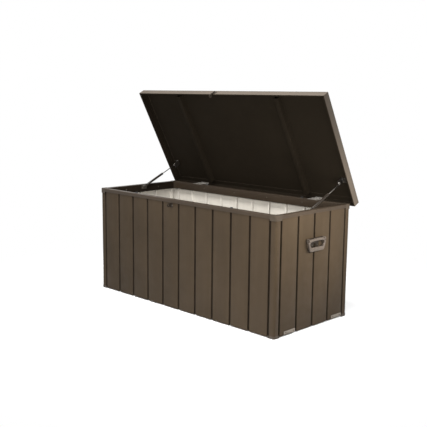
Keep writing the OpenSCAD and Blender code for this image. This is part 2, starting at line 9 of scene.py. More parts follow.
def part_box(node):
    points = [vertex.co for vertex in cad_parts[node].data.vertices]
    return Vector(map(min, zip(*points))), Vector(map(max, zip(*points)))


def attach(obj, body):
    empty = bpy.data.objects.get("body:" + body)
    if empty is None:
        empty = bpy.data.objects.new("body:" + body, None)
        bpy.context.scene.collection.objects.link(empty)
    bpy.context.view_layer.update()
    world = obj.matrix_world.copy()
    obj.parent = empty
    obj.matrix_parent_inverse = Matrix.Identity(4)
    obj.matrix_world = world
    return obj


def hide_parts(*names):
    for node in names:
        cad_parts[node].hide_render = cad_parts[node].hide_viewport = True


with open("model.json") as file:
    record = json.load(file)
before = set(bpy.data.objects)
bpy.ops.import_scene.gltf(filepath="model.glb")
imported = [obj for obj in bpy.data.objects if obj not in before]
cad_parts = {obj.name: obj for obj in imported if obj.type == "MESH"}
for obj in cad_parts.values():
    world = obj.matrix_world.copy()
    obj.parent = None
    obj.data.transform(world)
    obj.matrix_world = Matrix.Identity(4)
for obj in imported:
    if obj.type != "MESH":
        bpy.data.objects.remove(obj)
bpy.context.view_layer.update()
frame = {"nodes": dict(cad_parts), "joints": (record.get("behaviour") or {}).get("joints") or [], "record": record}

MM = 0.001

# ---- Sizes read from the frame ----

HALF_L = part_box("right_panel_1")[1].x
HALF_D = -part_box("front_panel_1")[0].y
RIM_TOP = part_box("top_rail_front")[1].z
RIM_INNER_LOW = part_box("top_rail_front")[0].z
BOARD_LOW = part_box("front_panel_1")[0].z
BOARD_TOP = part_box("front_panel_1")[1].z
POST_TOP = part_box("post_front_left")[1].z
BOARD_W = (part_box("front_panel_2")[0].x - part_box("front_panel_1")[0].x) / 2
JOINTS = {joint["name"]: joint for joint in frame["joints"]}
PIN = Vector(JOINTS["lid_hinge"]["pos_m"])
OPEN_ANGLE = math.radians(JOINTS["lid_hinge"]["range_deg"][1])

# ---- Sizes of the sheet work ----

# Thickness of each sheet, and the radius inside its folds
SHEET = 0.8 * MM
RIM_SHEET = 1.2 * MM
LID_SHEET = 1.0 * MM
PANEL_BEND = 1.0 * MM
POST_BEND = 0.9 * MM
RIM_BEND = 1.6 * MM
LID_BEND = 0.8 * MM
STIFFENER_BEND = 2.0 * MM

# Walls
LAP = 9 * MM
LAP_END = 1.2 * MM
GROOVE_W = 15 * MM
GROOVE_FLOOR_W = 9 * MM
GROOVE_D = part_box("front_panel_1")[1].y + HALF_D - 2 * SHEET
WALL_BACK = GROOVE_D + 2 * SHEET
POST_R = 12 * MM
CORNER_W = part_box("front_panel_1")[0].x + HALF_L + LAP

# Rim, measured from the wall's outside
RIM_LIP = 3.5 * MM
RIM_IN = 28.5 * MM
RIM_OUTER_H = 20 * MM
RIM_GAP = 0.2 * MM

# Lid, where it lies when closed
PIN_TO_LID_BACK = 12 * MM
PIN_TO_LID_TOP = 33.4 * MM
LID_H = 43.6 * MM
LID_BACK = PIN.y + PIN_TO_LID_BACK
LID_TOP = PIN.z + PIN_TO_LID_TOP
LID_LOW = LID_TOP - LID_H
SKIN_LOW = LID_TOP - LID_SHEET
LID_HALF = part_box("lid_panel")[1].x
LID_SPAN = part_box("lid_panel")[1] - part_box("lid_panel")[0]
LID_DEPTH = (LID_SPAN.y - LID_SHEET * math.sin(OPEN_ANGLE)) / math.cos(OPEN_ANGLE)
LID_FRONT = LID_BACK - LID_DEPTH
LID_MIDDLE = (LID_FRONT + LID_BACK) / 2
EDGE_LEG = 30 * MM
EDGE_HEM = 8 * MM
SKIN_EDGE = 0.35 * MM
STIFFENER_X = 407 * MM
STIFFENER_DEPTH = 25.2 * MM
STIFFENER_GAP = 0.5 * MM
# Half widths of a stiffener: over its flanges, at their fold and across its crown
STIFFENER_HALVES = (30 * MM, 18 * MM, 14 * MM)

# The turn that opens the lid, and the way its underside then faces: faces that look this way get painted shade
LID_TURN = Matrix.Rotation(-OPEN_ANGLE, 3, "X")
LID_DOWN = LID_TURN @ Vector((0, 0, -1))

# Past these angles, edges are shaded sharp on new pieces and bevelled on CAD nodes that stay
SHARP_ANGLE = math.radians(32)
BEVEL_ANGLE = math.radians(40)

# ---- Mesh tools ----


def finish_mesh(name, bm, body, materials, replaced=(), facing=None):
    """Turns a bmesh into a piece that rides on a body and stands for CAD nodes. If facing is
    given, faces that look that way take the second material, used to paint shade on them."""
    bmesh.ops.recalc_face_normals(bm, faces=bm.faces)
    if facing is not None:
        bm.normal_update()
        for face in bm.faces:
            if face.normal.dot(facing) > 0.5:
                face.material_index = 1
    mesh = bpy.data.meshes.new(name)
    bm.to_mesh(mesh)
    bm.free()
    for material in materials:
        mesh.materials.append(material)
    mesh.shade_smooth()
    mesh.set_sharp_from_angle(angle=SHARP_ANGLE)
    piece = bpy.data.objects.new(name, mesh)
    bpy.context.scene.collection.objects.link(piece)
    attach(piece, body)
    if replaced:
        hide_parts(*replaced)
    return piece


def left_of(direction):
    """The flat direction a quarter turn anticlockwise from the one given."""
    return Vector((-direction.y, direction.x))


def rounded_fold(path, thickness, bend, steps=4):
    """Pairs of points on the two faces of a sheet folded along a path, round at each fold.
    The thickness lies to the path's left, and bend is the radius inside each fold."""
    points = [Vector(p) for p in path]
    ways = [(b - a).normalized() for a, b in zip(points, points[1:])]
    pairs = [(points[0], points[0] + left_of(ways[0]) * thickness)]
    for here, before, after in zip(points[1:-1], ways, ways[1:]):
        turn = math.atan2(before.cross(after), before.dot(after))
        sign = 1 if turn > 0 else -1
        near = bend + thickness if turn > 0 else bend
        far = near - sign * thickness
        centre = here - before * near * math.tan(abs(turn) / 2) + left_of(before) * sign * near
        first = -left_of(before) * sign
        for step in range(steps + 1):
            ray = Matrix.Rotation(turn * step / steps, 2) @ first
            pairs.append((centre + ray * near, centre + ray * far))
    pairs.append((points[-1], points[-1] + left_of(ways[-1]) * thickness))
    return pairs


def fold_bmesh(pairs, place, stations):
    """Sweeps a folded sheet's section through its stations. Faces on the path's side take
    material 0 and faces on the other side take material 1."""
    bm = bmesh.new()
    rows = [[tuple(bm.verts.new(place(p, station)) for p in pair) for pair in pairs]
            for station in stations]
    for row, following in zip(rows, rows[1:]):
        for a, b, c, d in zip(row, row[1:], following, following[1:]):
            bm.faces.new((a[0], b[0], d[0], c[0]))
            bm.faces.new((a[1], c[1], d[1], b[1])).material_index = 1
        for k in (0, -1):
            bm.faces.new((row[k][0], following[k][0], following[k][1], row[k][1]))
    for row in (rows[0], rows[-1]):
        for a, b in zip(row, row[1:]):
            bm.faces.new((a[0], a[1], b[1], b[0]))
    return bm


# Each wall has its own frame, anticlockwise seen from above: u along it, v inwards
WALL_CORNERS = (Vector((-HALF_L, -HALF_D)), Vector((HALF_L, -HALF_D)),
                Vector((HALF_L, HALF_D)), Vector((-HALF_L, HALF_D)))
WALL_NAMES = ("front", "right", "back", "left")
WALL_LENGTHS = (2 * HALF_L, 2 * HALF_D, 2 * HALF_L, 2 * HALF_D)
WALL_PANELS = (5, 2, 5, 2)


def wall_point(side, u, v, z):
    """A point given in a wall's frame."""
    along = Matrix.Rotation(math.pi / 2 * side, 2) @ Vector((1, 0))
    flat = WALL_CORNERS[side] + along * u + left_of(along) * v
    return Vector((flat.x, flat.y, z))


def opened(x, y, z):
    """A point of the closed lid, moved to where the open lid has it."""
    return PIN + LID_TURN @ (Vector((x, y, z)) - PIN)


def lathe(bm, profile, centre, axis, steps=40):
    """Adds a turned shape: profile is (distance along the axis, radius) from end to end."""
    axis = Vector(axis).normalized()
    side = axis.orthogonal().normalized()
    other = axis.cross(side)
    turns = [2 * math.pi * k / steps for k in range(steps)]
    rays = [side * math.cos(turn) + other * math.sin(turn) for turn in turns]
    rings = []
    for along, radius in profile:
        middle = centre + axis * along
        if radius == 0:
            rings.append([bm.verts.new(middle)])
        else:
            rings.append([bm.verts.new(middle + ray * radius) for ray in rays])
    for ring, following in zip(rings, rings[1:]):
        for k in range(steps):
            corners = [ring[k % len(ring)], ring[(k + 1) % len(ring)],
                       following[(k + 1) % len(following)], following[k % len(following)]]
            bm.faces.new(list(dict.fromkeys(corners)))
    if len(rings[0]) > 1 and profile[0] == profile[-1]:
        bmesh.ops.remove_doubles(bm, verts=rings[0] + rings[-1], dist=1e-7)


def outline(corners, arc_steps=6, longest=2.5 * MM):
    """Points round a polygon. A corner is (x, y, radius), and long sides are cut up."""
    arcs = []
    for k, (x, y, radius) in enumerate(corners):
        here = Vector((x, y))
        before = (here - Vector(corners[k - 1][:2])).normalized()
        after = (Vector(corners[(k + 1) % len(corners)][:2]) - here).normalized()
        if radius == 0:
            arcs.append([here])
            continue
        turn = math.atan2(before.cross(after), before.dot(after))
        sign = 1 if turn > 0 else -1
        centre = here - before * radius * math.tan(abs(turn) / 2) + left_of(before) * sign * radius
        turns = [Matrix.Rotation(turn * step / arc_steps, 2) for step in range(arc_steps + 1)]
        arcs.append([centre - (spin @ left_of(before)) * sign * radius for spin in turns])
    points = []
    for arc, following in zip(arcs, arcs[1:] + arcs[:1]):
        points += arc
        pieces = math.ceil((following[0] - arc[-1]).length / longest)
        points += [arc[-1].lerp(following[0], k / pieces) for k in range(1, pieces)]
    return points


def along_ray(points, centre, through):
    """Where the ray from centre through a point meets a closed outline."""
    way = through - centre
    for a, b in zip(points, points[1:] + points[:1]):
        edge = b - a
        cross = way.cross(edge)
        if abs(cross) < 1e-14:
            continue
        reach = (a - centre).cross(edge) / cross
        share = (a - centre).cross(way) / cross
        if reach > 0 and -1e-6 <= share <= 1 + 1e-6:
            return centre + way * reach
    return centre


# ---- Materials ----


class Nodes:
    """A small helper that adds shader nodes and links them."""

    def __init__(self, name):
        self.material = bpy.data.materials.new(name)
        self.material.use_nodes = True
        self.tree = self.material.node_tree
        self.tree.nodes.clear()
        self.surface = self.tree.nodes.new("ShaderNodeBsdfPrincipled")
        output = self.tree.nodes.new("ShaderNodeOutputMaterial")
        self.tree.links.new(self.surface.outputs[0], output.inputs[0])

    def put(self, socket, value):
        """Links another node's output to a socket, or sets the socket to a plain value."""
        if isinstance(value, bpy.types.NodeSocket):
            self.tree.links.new(value, socket)
        else:
            socket.default_value = value

    def add(self, kind, inputs, output=0, **settings):
        """Adds a node, fills its inputs and returns one of its outputs."""
        made = self.tree.nodes.new("ShaderNode" + kind)
        for key, value in settings.items():
            setattr(made, key, value)
        for key, value in inputs.items():
            self.put(made.inputs[key], value)
        return made.outputs[output]

    def coords(self, scale=(1, 1, 1)):
        place = self.add("TexCoord", {}, "Object")
        return self.add("Mapping", {"Vector": place, "Scale": scale})

    def noise(self, size, detail=3.0, stretch=(1, 1, 1), roughness=0.5):
        """Noise whose features are about size metres across, from 0 to 1."""
        inputs = {"Vector": self.coords(stretch), "Scale": 1 / size, "Detail": detail}
        return self.add("TexNoise", {**inputs, "Roughness": roughness})

    def span(self, value, low, high, start=0.3, end=0.7):
        """Maps start..end to low..high, held at both ends."""
        inputs = {"Value": value, "From Min": start, "From Max": end}
        return self.add("MapRange", {**inputs, "To Min": low, "To Max": high})

    def calc(self, operation, a, b=0.0):
        return self.add("Math", {0: a, 1: b}, operation=operation)

    def product(self, a, b):
        return self.calc("MULTIPLY", a, b)

    def off_middle(self, axis):
        """Distance from the object's middle plane along an axis."""
        place = self.add("TexCoord", {}, "Object")
        return self.calc("ABSOLUTE", self.add("SeparateXYZ", {0: place}, axis))

    def tinted(self, colour, factor):
        return self.add("VectorMath", {0: colour[:3], "Scale": factor}, operation="SCALE")

    def mixed(self, factor, a, b):
        made = self.tree.nodes.new("ShaderNodeMix")
        made.data_type = "RGBA"
        self.put(made.inputs[0], factor)
        self.put(made.inputs[6], a)
        self.put(made.inputs[7], b)
        return made.outputs[2]

    def bump(self, height, depth, strength=1.0, normal=None):
        inputs = {"Height": height, "Distance": depth, "Strength": strength}
        if normal is not None:
            inputs["Normal"] = normal
        return self.add("Bump", inputs)

    def edges(self, radius):
        """1 on sharp edges and 0 on flat ground."""
        rounded = self.add("Bevel", {"Radius": radius}, samples=4)
        flat = self.add("NewGeometry", {}, "Normal")
        facing = self.add("VectorMath", {0: rounded, 1: flat}, "Value", operation="DOT_PRODUCT")
        return self.span(facing, 1.0, 0.0, 0.90, 0.995)

    def set(self, **inputs):
        """Puts values or sockets into the surface shader and returns the material."""
        for key, value in inputs.items():
            self.put(self.surface.inputs[key.replace("_", " ")], value)
        return self.material


# Colour of the shade painted into the bottoms of the walls' grooves
GROOVE_SHADE = (0.006, 0.0045, 0.0032, 1)
# Painted shade starts and is full at these depths below the wall's face
GROOVE_SHADE_DEPTHS = (0.4 * MM, 3 * MM)
# No painted shade nearer to two walls than the first of these distances, and all of it past the second
UNSHADED_CORNER = (16 * MM, 24 * MM)


def painted_groove_shade(n, base):
    """Paints shade into the bottoms of the walls' grooves, which lie in shadow. The round
    corners, which lie close to two walls, get no painted shade."""
    from_end = n.calc("SUBTRACT", HALF_L, n.off_middle("X"))
    from_side = n.calc("SUBTRACT", HALF_D, n.off_middle("Y"))
    deep = n.span(n.calc("MINIMUM", from_end, from_side), 0, 1, *GROOVE_SHADE_DEPTHS)
    away = n.span(n.calc("MAXIMUM", from_end, from_side), 0, 1, *UNSHADED_CORNER)
    # The painted shade's strength varies along the grooves
    thick = n.span(n.noise(0.05, 4), 0.62, 0.86)
    return n.mixed(n.product(n.product(deep, away), thick), base, GROOVE_SHADE)


def worn_colour(colour, gain):
    """The paler colour that worn edges show."""
    return [min(1, part * gain + 0.01) for part in colour[:3]] + [1]


def coat(name, colour, rough, mottle=0.12, streak=0.06, grain=1.1 * MM, wear=0.35,
         gloss=0.16, wave=0.5 * MM, shade_grooves=False):
    """Powder coat on steel: orange-peel grain, faint run-off streaks, paler worn edges and,
    on request, shade painted into the walls' grooves.
    """
    n = Nodes(name)
    broad = n.noise(0.35, 4)
    streaks = n.noise(0.03, 4, stretch=(1, 1, 0.06))
    tone = n.product(n.span(broad, 1 - mottle, 1 + mottle),
                     n.span(streaks, 1 - streak, 1 + streak))
    base = n.tinted(colour, tone)
    # Paints shade into the walls' grooves
    if shade_grooves:
        base = painted_groove_shade(n, base)
    patches = n.span(n.noise(0.02, 5), 0, 1, 0.4, 0.65)
    worn = n.product(n.product(n.edges(1.2 * MM), patches), wear)
    peel = n.noise(grain, 2)
    rough_map = n.span(n.noise(0.05, 4), rough - 0.06, rough + 0.07)
    waves = n.bump(n.noise(0.16, 1), wave)
    return n.set(Base_Color=n.mixed(worn, base, worn_colour(colour, 1.9)), Roughness=rough_map,
                 Specular_IOR_Level=gloss, Normal=n.bump(peel, 0.06 * MM, 0.7, waves))


def plastic(name, colour, rough, grain=0.7 * MM, depth=0.05 * MM, gloss=0.25):
    """Moulded plastic with a fine spark-eroded grain and slightly chalked edges."""
    n = Nodes(name)
    tone = n.span(n.noise(0.06, 4), 0.9, 1.1)
    base = n.tinted(colour, tone)
    worn = n.product(n.edges(1.0 * MM), 0.3)
    cells = n.add("TexVoronoi", {"Vector": n.coords(), "Scale": 1 / grain})
    rough_map = n.span(n.noise(0.03, 3), rough - 0.05, rough + 0.06)
    return n.set(Base_Color=n.mixed(worn, base, worn_colour(colour, 1.5)), Roughness=rough_map,
                 Specular_IOR_Level=gloss, Normal=n.bump(cells, depth, 0.8))


# The handle's plate and round stop lie within this distance of the wall's face
PLATE_REACH = 5 * MM


def handle_base(name, colour, dark, rough):
    """Moulded ears in the given colour, with everything within PLATE_REACH of the wall's face darker."""
    n = Nodes(name)
    ear = n.calc("GREATER_THAN", n.off_middle("X"), HALF_L + PLATE_REACH)
    tone = n.span(n.noise(0.03, 4), 0.88, 1.12)
    cells = n.add("TexVoronoi", {"Vector": n.coords(), "Scale": 1 / (0.7 * MM)})
    return n.set(Base_Color=n.mixed(ear, n.tinted(dark, tone), n.tinted(colour, tone)),
                 Roughness=n.span(n.noise(0.03, 3), rough - 0.05, rough + 0.06),
                 Specular_IOR_Level=0.2, Normal=n.bump(cells, 0.05 * MM, 0.8))


def galvanised(name, colour, rough, metal=0.85):
    """Zinc coat with its crystal spangle, bare or under thin paint."""
    n = Nodes(name)
    cells = n.add("TexVoronoi", {"Vector": n.coords(), "Scale": 1 / (6 * MM)}, "Color")
    grey = n.add("SeparateColor", {0: cells})
    tone = n.product(n.span(grey, 0.84, 1.1, 0, 1), n.span(n.noise(0.03, 3), 0.92, 1.06))
    rough_map = n.span(grey, rough - 0.08, rough + 0.1, 0, 1)
    return n.set(Base_Color=n.tinted(colour, tone), Metallic=metal, Roughness=rough_map,
                 Normal=n.bump(n.noise(1.5 * MM, 2), 0.03 * MM, 0.6))


def polished(name, colour, rough):
    """Hard chrome with faint lengthwise wear marks."""
    n = Nodes(name)
    marks = n.noise(1.2 * MM, 3, stretch=(1, 0.04, 0.04))
    return n.set(Base_Color=n.tinted(colour, n.span(marks, 0.92, 1.04)), Metallic=1.0,
                 Roughness=n.span(marks, rough, rough + 0.12),
                 Normal=n.bump(marks, 0.008 * MM, 0.5))


def rubber(name, colour, rough):
    """Dull rubber with a pale bloom in places."""
    n = Nodes(name)
    bloom = n.span(n.noise(0.006, 4), 0.8, 1.5)
    rough_map = n.span(n.noise(0.01, 3), rough, rough + 0.1)
    return n.set(Base_Color=n.tinted(colour, bloom), Roughness=rough_map,
                 Normal=n.bump(n.noise(0.8 * MM, 3), 0.08 * MM, 0.6))


BRIGHT_STUD = (0.45, 0.43, 0.40)
# Where the studs of the struts' brackets start and end, from the box's middle
BOX_STUD = (0.6986, 0.7112)
LID_STUD = (0.6926, 0.6988)


def bracket(name, colour, rough, stud_span):
    """A dark plated bracket whose stud, between two distances from the middle, is bright."""
    n = Nodes(name)
    aside = n.off_middle("X")
    stud = n.product(n.calc("GREATER_THAN", aside, stud_span[0]),
                     n.calc("LESS_THAN", aside, stud_span[1]))
    lines = n.noise(0.9 * MM, 3, stretch=(0.05, 1, 1))
    tone = n.product(n.span(lines, 0.88, 1.1), n.span(n.noise(0.02, 4), 0.85, 1.1))
    bright = n.tinted(BRIGHT_STUD, tone)
    rough_map = n.span(n.noise(0.008, 4), rough - 0.07, rough + 0.1)
    return n.set(Base_Color=n.mixed(stud, n.tinted(colour, tone), bright), Roughness=rough_map,
                 Metallic=n.span(stud, 0.3, 1.0, 0, 1), Normal=n.bump(lines, 0.02 * MM, 0.7))


# The walls' outside coat has shade painted into its grooves
WALL_OUTSIDE = coat("wall_coat_outside", (0.0238, 0.0162, 0.0093), 0.6, gloss=0.11, shade_grooves=True)
WALL_INSIDE = coat("wall_coat_inside", (0.395, 0.37, 0.328), 0.5, mottle=0.05, streak=0.04,
                   wear=0.1)
RIM_COAT = coat("rim_coat", (0.0180, 0.0122, 0.0075), 0.42, gloss=0.22, wear=0.15)
# A darker copy of the rim's coat: painted shade on the end rails' faces that look into the box
RIM_SHADED = coat("rim_inner_coat", (0.0062, 0.0042, 0.0027), 0.5, gloss=0.07, wear=0.1)
LID_COAT = coat("lid_coat", (0.0405, 0.0318, 0.0236), 0.45, mottle=0.1, streak=0.03)
# A darker copy of the lid's coat: painted shade on the lid's underside, its edges' downward faces and its
# stiffeners
LID_UNDER_SHADE = coat("lid_under_coat", (0.0078, 0.0059, 0.0039), 0.75, mottle=0.1, streak=0.03,
                 gloss=0.02)
FLOOR_COAT = coat("floor_coat", (0.34, 0.315, 0.275), 0.5, mottle=0.08, streak=0.0, wear=0.1)
CAP_PLASTIC = plastic("cap_plastic", (0.0228, 0.0166, 0.0109), 0.5)
FOOT_PLASTIC = plastic("foot_plastic", (0.025, 0.0185, 0.013), 0.5)
HANDLE_PLASTIC = plastic("handle_plastic", (0.0385, 0.0303, 0.0238), 0.45)
HANDLE_BASE = handle_base("handle_base", (0.043, 0.034, 0.027), (0.008, 0.0058, 0.0040), 0.5)
HINGE_STEEL = galvanised("hinge_steel", (0.20, 0.185, 0.165), 0.5, metal=0.35)
BOX_BRACKET = bracket("box_bracket", (0.030, 0.025, 0.020), 0.4, BOX_STUD)
LID_BRACKET = bracket("lid_bracket", (0.0115, 0.0094, 0.0074), 0.4, LID_STUD)
TUBE_ENAMEL = coat("tube_enamel", (0.0095, 0.0072, 0.0052), 0.36, mottle=0.2, streak=0.05,
                   grain=0.6 * MM, gloss=0.2)
ROD_CHROME = polished("rod_chrome", (0.40, 0.37, 0.33), 0.2)
LUG_COAT = coat("lug_coat", (0.014, 0.0108, 0.008), 0.5, gloss=0.1, wear=0.15)
ZINC = galvanised("zinc", (0.22, 0.193, 0.16), 0.5)
PAINTED_SCREW = galvanised("painted_screw", (0.085, 0.072, 0.058), 0.5)
LID_SCREW = galvanised("lid_screw", (0.034, 0.029, 0.0235), 0.55, metal=0.5)
BUFFER_RUBBER = rubber("buffer_rubber", (0.012, 0.012, 0.012), 0.62)

SLOT_MATERIALS = {
    "wall_steel": WALL_OUTSIDE, "rim_steel": RIM_COAT, "lid_steel": LID_COAT,
    "floor_steel": FLOOR_COAT, "corner_plastic": CAP_PLASTIC, "foot_plastic": FOOT_PLASTIC,
    "handle_plastic": HANDLE_PLASTIC, "bracket_steel": HINGE_STEEL,
    "strut_tube_steel": TUBE_ENAMEL, "rod_chrome": ROD_CHROME, "lug_steel": LUG_COAT,
    "zinc_steel": ZINC, "buffer_rubber": BUFFER_RUBBER,
}
# Nodes whose material isn't their slot's
NODE_MATERIALS = {"strut_box_mounts": BOX_BRACKET, "strut_lid_mounts": LID_BRACKET,
                  "handle_base_left": HANDLE_BASE, "handle_base_right": HANDLE_BASE,
                  "box_screws": PAINTED_SCREW, "lid_screws": LID_SCREW}

# ---- CAD nodes that stay: their own shape, softer edges and a material ----

WELD_WITHIN = 0.01 * MM
# Width of the softened edges, usually and for the nodes where it differs
SOFT_EDGE = 0.3 * MM
SOFT_EDGES = {"corner_caps": 0.8 * MM, "feet": 0.7 * MM, "handle_base_left": 0.9 * MM,
              "handle_base_right": 0.9 * MM, "rubber_buffers": 0.8 * MM,
              "lock_lug_box": 0.6 * MM, "lock_lug_lid": 0.6 * MM, "anchor_plates": 0.5 * MM}

for entry in frame["record"]["subparts"]:
    cad_object = frame["nodes"][entry["node"]]
    material = NODE_MATERIALS.get(entry["node"], SLOT_MATERIALS[entry["material_slot"]])
    cad_object.data.materials.clear()
    cad_object.data.materials.append(material)
    weld = cad_object.modifiers.new("weld", "WELD")
    weld.merge_threshold = WELD_WITHIN
    bevel = cad_object.modifiers.new("soft_edges", "BEVEL")
    bevel.width = SOFT_EDGES.get(entry["node"], SOFT_EDGE)
    bevel.segments = 2
    bevel.limit_method = "ANGLE"
    bevel.angle_limit = BEVEL_ANGLE
    bevel.harden_normals = True

# ---- Walls ----


def panel_path(start):
    """One wall panel, seen from above: a tongue, two boards and the next groove's floor."""
    half, floor = GROOVE_W / 2, GROOVE_FLOOR_W / 2
    tongue = GROOVE_D + SHEET
    middle, end = start + BOARD_W, start + 2 * BOARD_W
    return [(start - LAP, tongue), (start + floor, tongue), (start + half, 0),
            (middle - half, 0), (middle - floor, GROOVE_D),
            (middle + floor, GROOVE_D), (middle + half, 0),
            (end - half, 0), (end - floor, GROOVE_D), (end + LAP_END, GROOVE_D)]


def upright_sheet(side, node, pairs, top):
    """A piece of wall that keeps one section from the boards' lower end to its top."""
    bm = fold_bmesh(pairs, lambda p, z: wall_point(side, p.x, p.y, z), (BOARD_LOW, top))
    finish_mesh("pressed_" + node, bm, "box", [WALL_OUTSIDE, WALL_INSIDE], [node])


def wall_panel(side, index):
    path = panel_path(CORNER_W + (index - 1) * 2 * BOARD_W)
    upright_sheet(side, f"{WALL_NAMES[side]}_panel_{index}",
                  rounded_fold(path, SHEET, PANEL_BEND), BOARD_TOP)


def post(side, node):
    """A corner post. It starts on the wall before the corner and ends on wall number side."""
    leg_end, floor_start = CORNER_W - GROOVE_W / 2, CORNER_W - GROOVE_FLOOR_W / 2
    tongue = GROOVE_D + SHEET
    arc_steps = 10
    angles = [math.pi / 2 * step / arc_steps for step in range(1, arc_steps)]
    arc = [(POST_R - POST_R * math.cos(a), POST_R - POST_R * math.sin(a)) for a in angles]
    path = [(tongue, CORNER_W + LAP), (tongue, floor_start), (0, leg_end), (0, POST_R), *arc,
            (POST_R, 0), (leg_end, 0), (floor_start, GROOVE_D), (CORNER_W + LAP_END, GROOVE_D)]
    upright_sheet(side, node, rounded_fold(path, SHEET, POST_BEND, steps=2), POST_TOP)


for side, panel_count in enumerate(WALL_PANELS):
    for index in range(1, panel_count + 1):
        wall_panel(side, index)
for side, place in enumerate(("front_left", "front_right", "back_right", "back_left")):
    post(side, "post_" + place)

# ---- Rim ----


def top_rail(side):
    """A rim channel. The faces of the end rails that look into the box get painted shade."""
    node = "top_rail_" + WALL_NAMES[side]
    path = [(WALL_BACK + RIM_GAP, RIM_INNER_LOW), (RIM_IN, RIM_INNER_LOW), (RIM_IN, RIM_TOP),
            (-RIM_LIP, RIM_TOP), (-RIM_LIP, RIM_TOP - RIM_OUTER_H)]
    low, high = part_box(node)
    length = (high.x - low.x) if side % 2 == 0 else (high.y - low.y)
    start = (WALL_LENGTHS[side] - length) / 2
    pairs = rounded_fold(path, RIM_SHEET, RIM_BEND)
    bm = fold_bmesh(pairs, lambda p, u: wall_point(side, u, p.x, p.y), (start, start + length))
    # Both faces of the sheet start with the rim's coat
    for face in bm.faces:
        face.material_index = 0
    inwards = wall_point(side, 0, 1, 0) - wall_point(side, 0, 0, 0)
    # On the end rails, the faces that look into the box take the painted shade
    inner = RIM_SHADED if side % 2 else RIM_COAT
    finish_mesh("rolled_" + node, bm, "box", [RIM_COAT, inner], [node], inwards)


for side in range(4):
    top_rail(side)

# ---- Lid ----


def lid_edge(node, across, length_half):
    """An edge channel with mitred ends. across(inward, along, z) places a point."""
    path = [(EDGE_LEG, SKIN_LOW), (0, SKIN_LOW), (0, LID_LOW), (EDGE_HEM, LID_LOW)]
    pairs = rounded_fold(path, LID_SHEET, LID_BEND)

    def place(p, end):
        return across(p.x, end * (length_half - max(p.x, 0)), p.y)

    bm = fold_bmesh(pairs, place, (-1, 1))
    # Faces that look down under the open lid take its painted shade
    finish_mesh("folded_" + node, bm, "lid", [LID_COAT, LID_UNDER_SHADE], [node],
                LID_DOWN)


lid_edge("lid_edge_front", lambda d, s, z: opened(s, LID_FRONT + d, z), LID_HALF)
lid_edge("lid_edge_back", lambda d, s, z: opened(s, LID_BACK - d, z), LID_HALF)
lid_edge("lid_edge_left", lambda d, s, z: opened(-LID_HALF + d, LID_MIDDLE + s, z), LID_DEPTH / 2)
lid_edge("lid_edge_right", lambda d, s, z: opened(LID_HALF - d, LID_MIDDLE + s, z), LID_DEPTH / 2)


def lid_stiffener(node, x):
    """A hat section under the skin, between the front and back edges, in the lid's painted shade."""
    top = SKIN_LOW - LID_SHEET
    low = top - STIFFENER_DEPTH
    flange, fold, crown = STIFFENER_HALVES
    path = [(x - flange, top), (x - fold, top), (x - crown, low),
            (x + crown, low), (x + fold, top), (x + flange, top)]
    pairs = rounded_fold(path, LID_SHEET, STIFFENER_BEND)
    ends = (LID_FRONT + EDGE_LEG + STIFFENER_GAP, LID_BACK - EDGE_LEG - STIFFENER_GAP)
    bm = fold_bmesh(pairs, lambda p, y: opened(p.x, y, p.y), ends)
    finish_mesh("rolled_" + node, bm, "lid", [LID_UNDER_SHADE, LID_UNDER_SHADE], [node])


def lid_skin():
    """The lid's flat sheet, with softened edges. Its underside is in the lid's painted shade."""
    path = [(LID_HALF, LID_TOP), (-LID_HALF, LID_TOP)]
    pairs = rounded_fold(path, LID_SHEET, 0)
    bm = fold_bmesh(pairs, lambda p, y: opened(p.x, y, p.y), (LID_FRONT, LID_BACK))
    skin = finish_mesh("pressed_lid_panel", bm, "lid", [LID_COAT, LID_UNDER_SHADE],
                       ["lid_panel"])
    soft = skin.modifiers.new("soft_edges", "BEVEL")
    soft.width = SKIN_EDGE
    soft.segments = 2


lid_skin()
lid_stiffener("lid_stiffener_left", -STIFFENER_X)
lid_stiffener("lid_stiffener_right", STIFFENER_X)

# ---- Struts ----

# Distances along a strut are from the middle of its lower eye
TUBE_START = 16 * MM
TUBE_END = 173 * MM
TUBE_R = 7.5 * MM
TUBE_CORNER_R = 7 * MM
TUBE_FACE_R = 6 * MM
NECK_START = 6.8 * MM
NECK_R = 3.6 * MM
BORE_START = 60 * MM
BORE_R = 3.1 * MM
ROD_R = 3 * MM
# How far the rod reaches into the tube, and its eye's shank into the eye
ROD_OVERLAP = 8 * MM
SHANK_OVERLAP = 3 * MM
# The tube's groove and the rod's: how far each starts before the tube's end or the rod's
# eye, its depth, and the lengths of each slope and of its floor
TUBE_GROOVE = (14 * MM, 0.6 * MM, 1 * MM, 1.5 * MM)
ROD_GROOVE = (5 * MM, 0.5 * MM, 0.5 * MM, 1 * MM)
EYE_R = 8 * MM
EYE_T = 5 * MM
EYE_EDGE = 0.8 * MM
STUD_HOLE_R = 4.05 * MM


def eye(bm, centre):
    """A ring with softened edges, for a strut's end."""
    half = EYE_T / 2
    profile = [(-half, STUD_HOLE_R), (-half, EYE_R - EYE_EDGE), (-half + EYE_EDGE, EYE_R),
               (half - EYE_EDGE, EYE_R), (half, EYE_R - EYE_EDGE), (half, STUD_HOLE_R),
               (-half, STUD_HOLE_R)]
    lathe(bm, profile, centre, (1, 0, 0), 48)


def rolled_groove(end, radius, before, depth, slope, floor):
    """Profile points of a groove rolled round a turned shape, starting before its end."""
    start = end - before
    return [(start, radius), (start + slope, radius - depth),
            (start + slope + floor, radius - depth), (start + 2 * slope + floor, radius)]


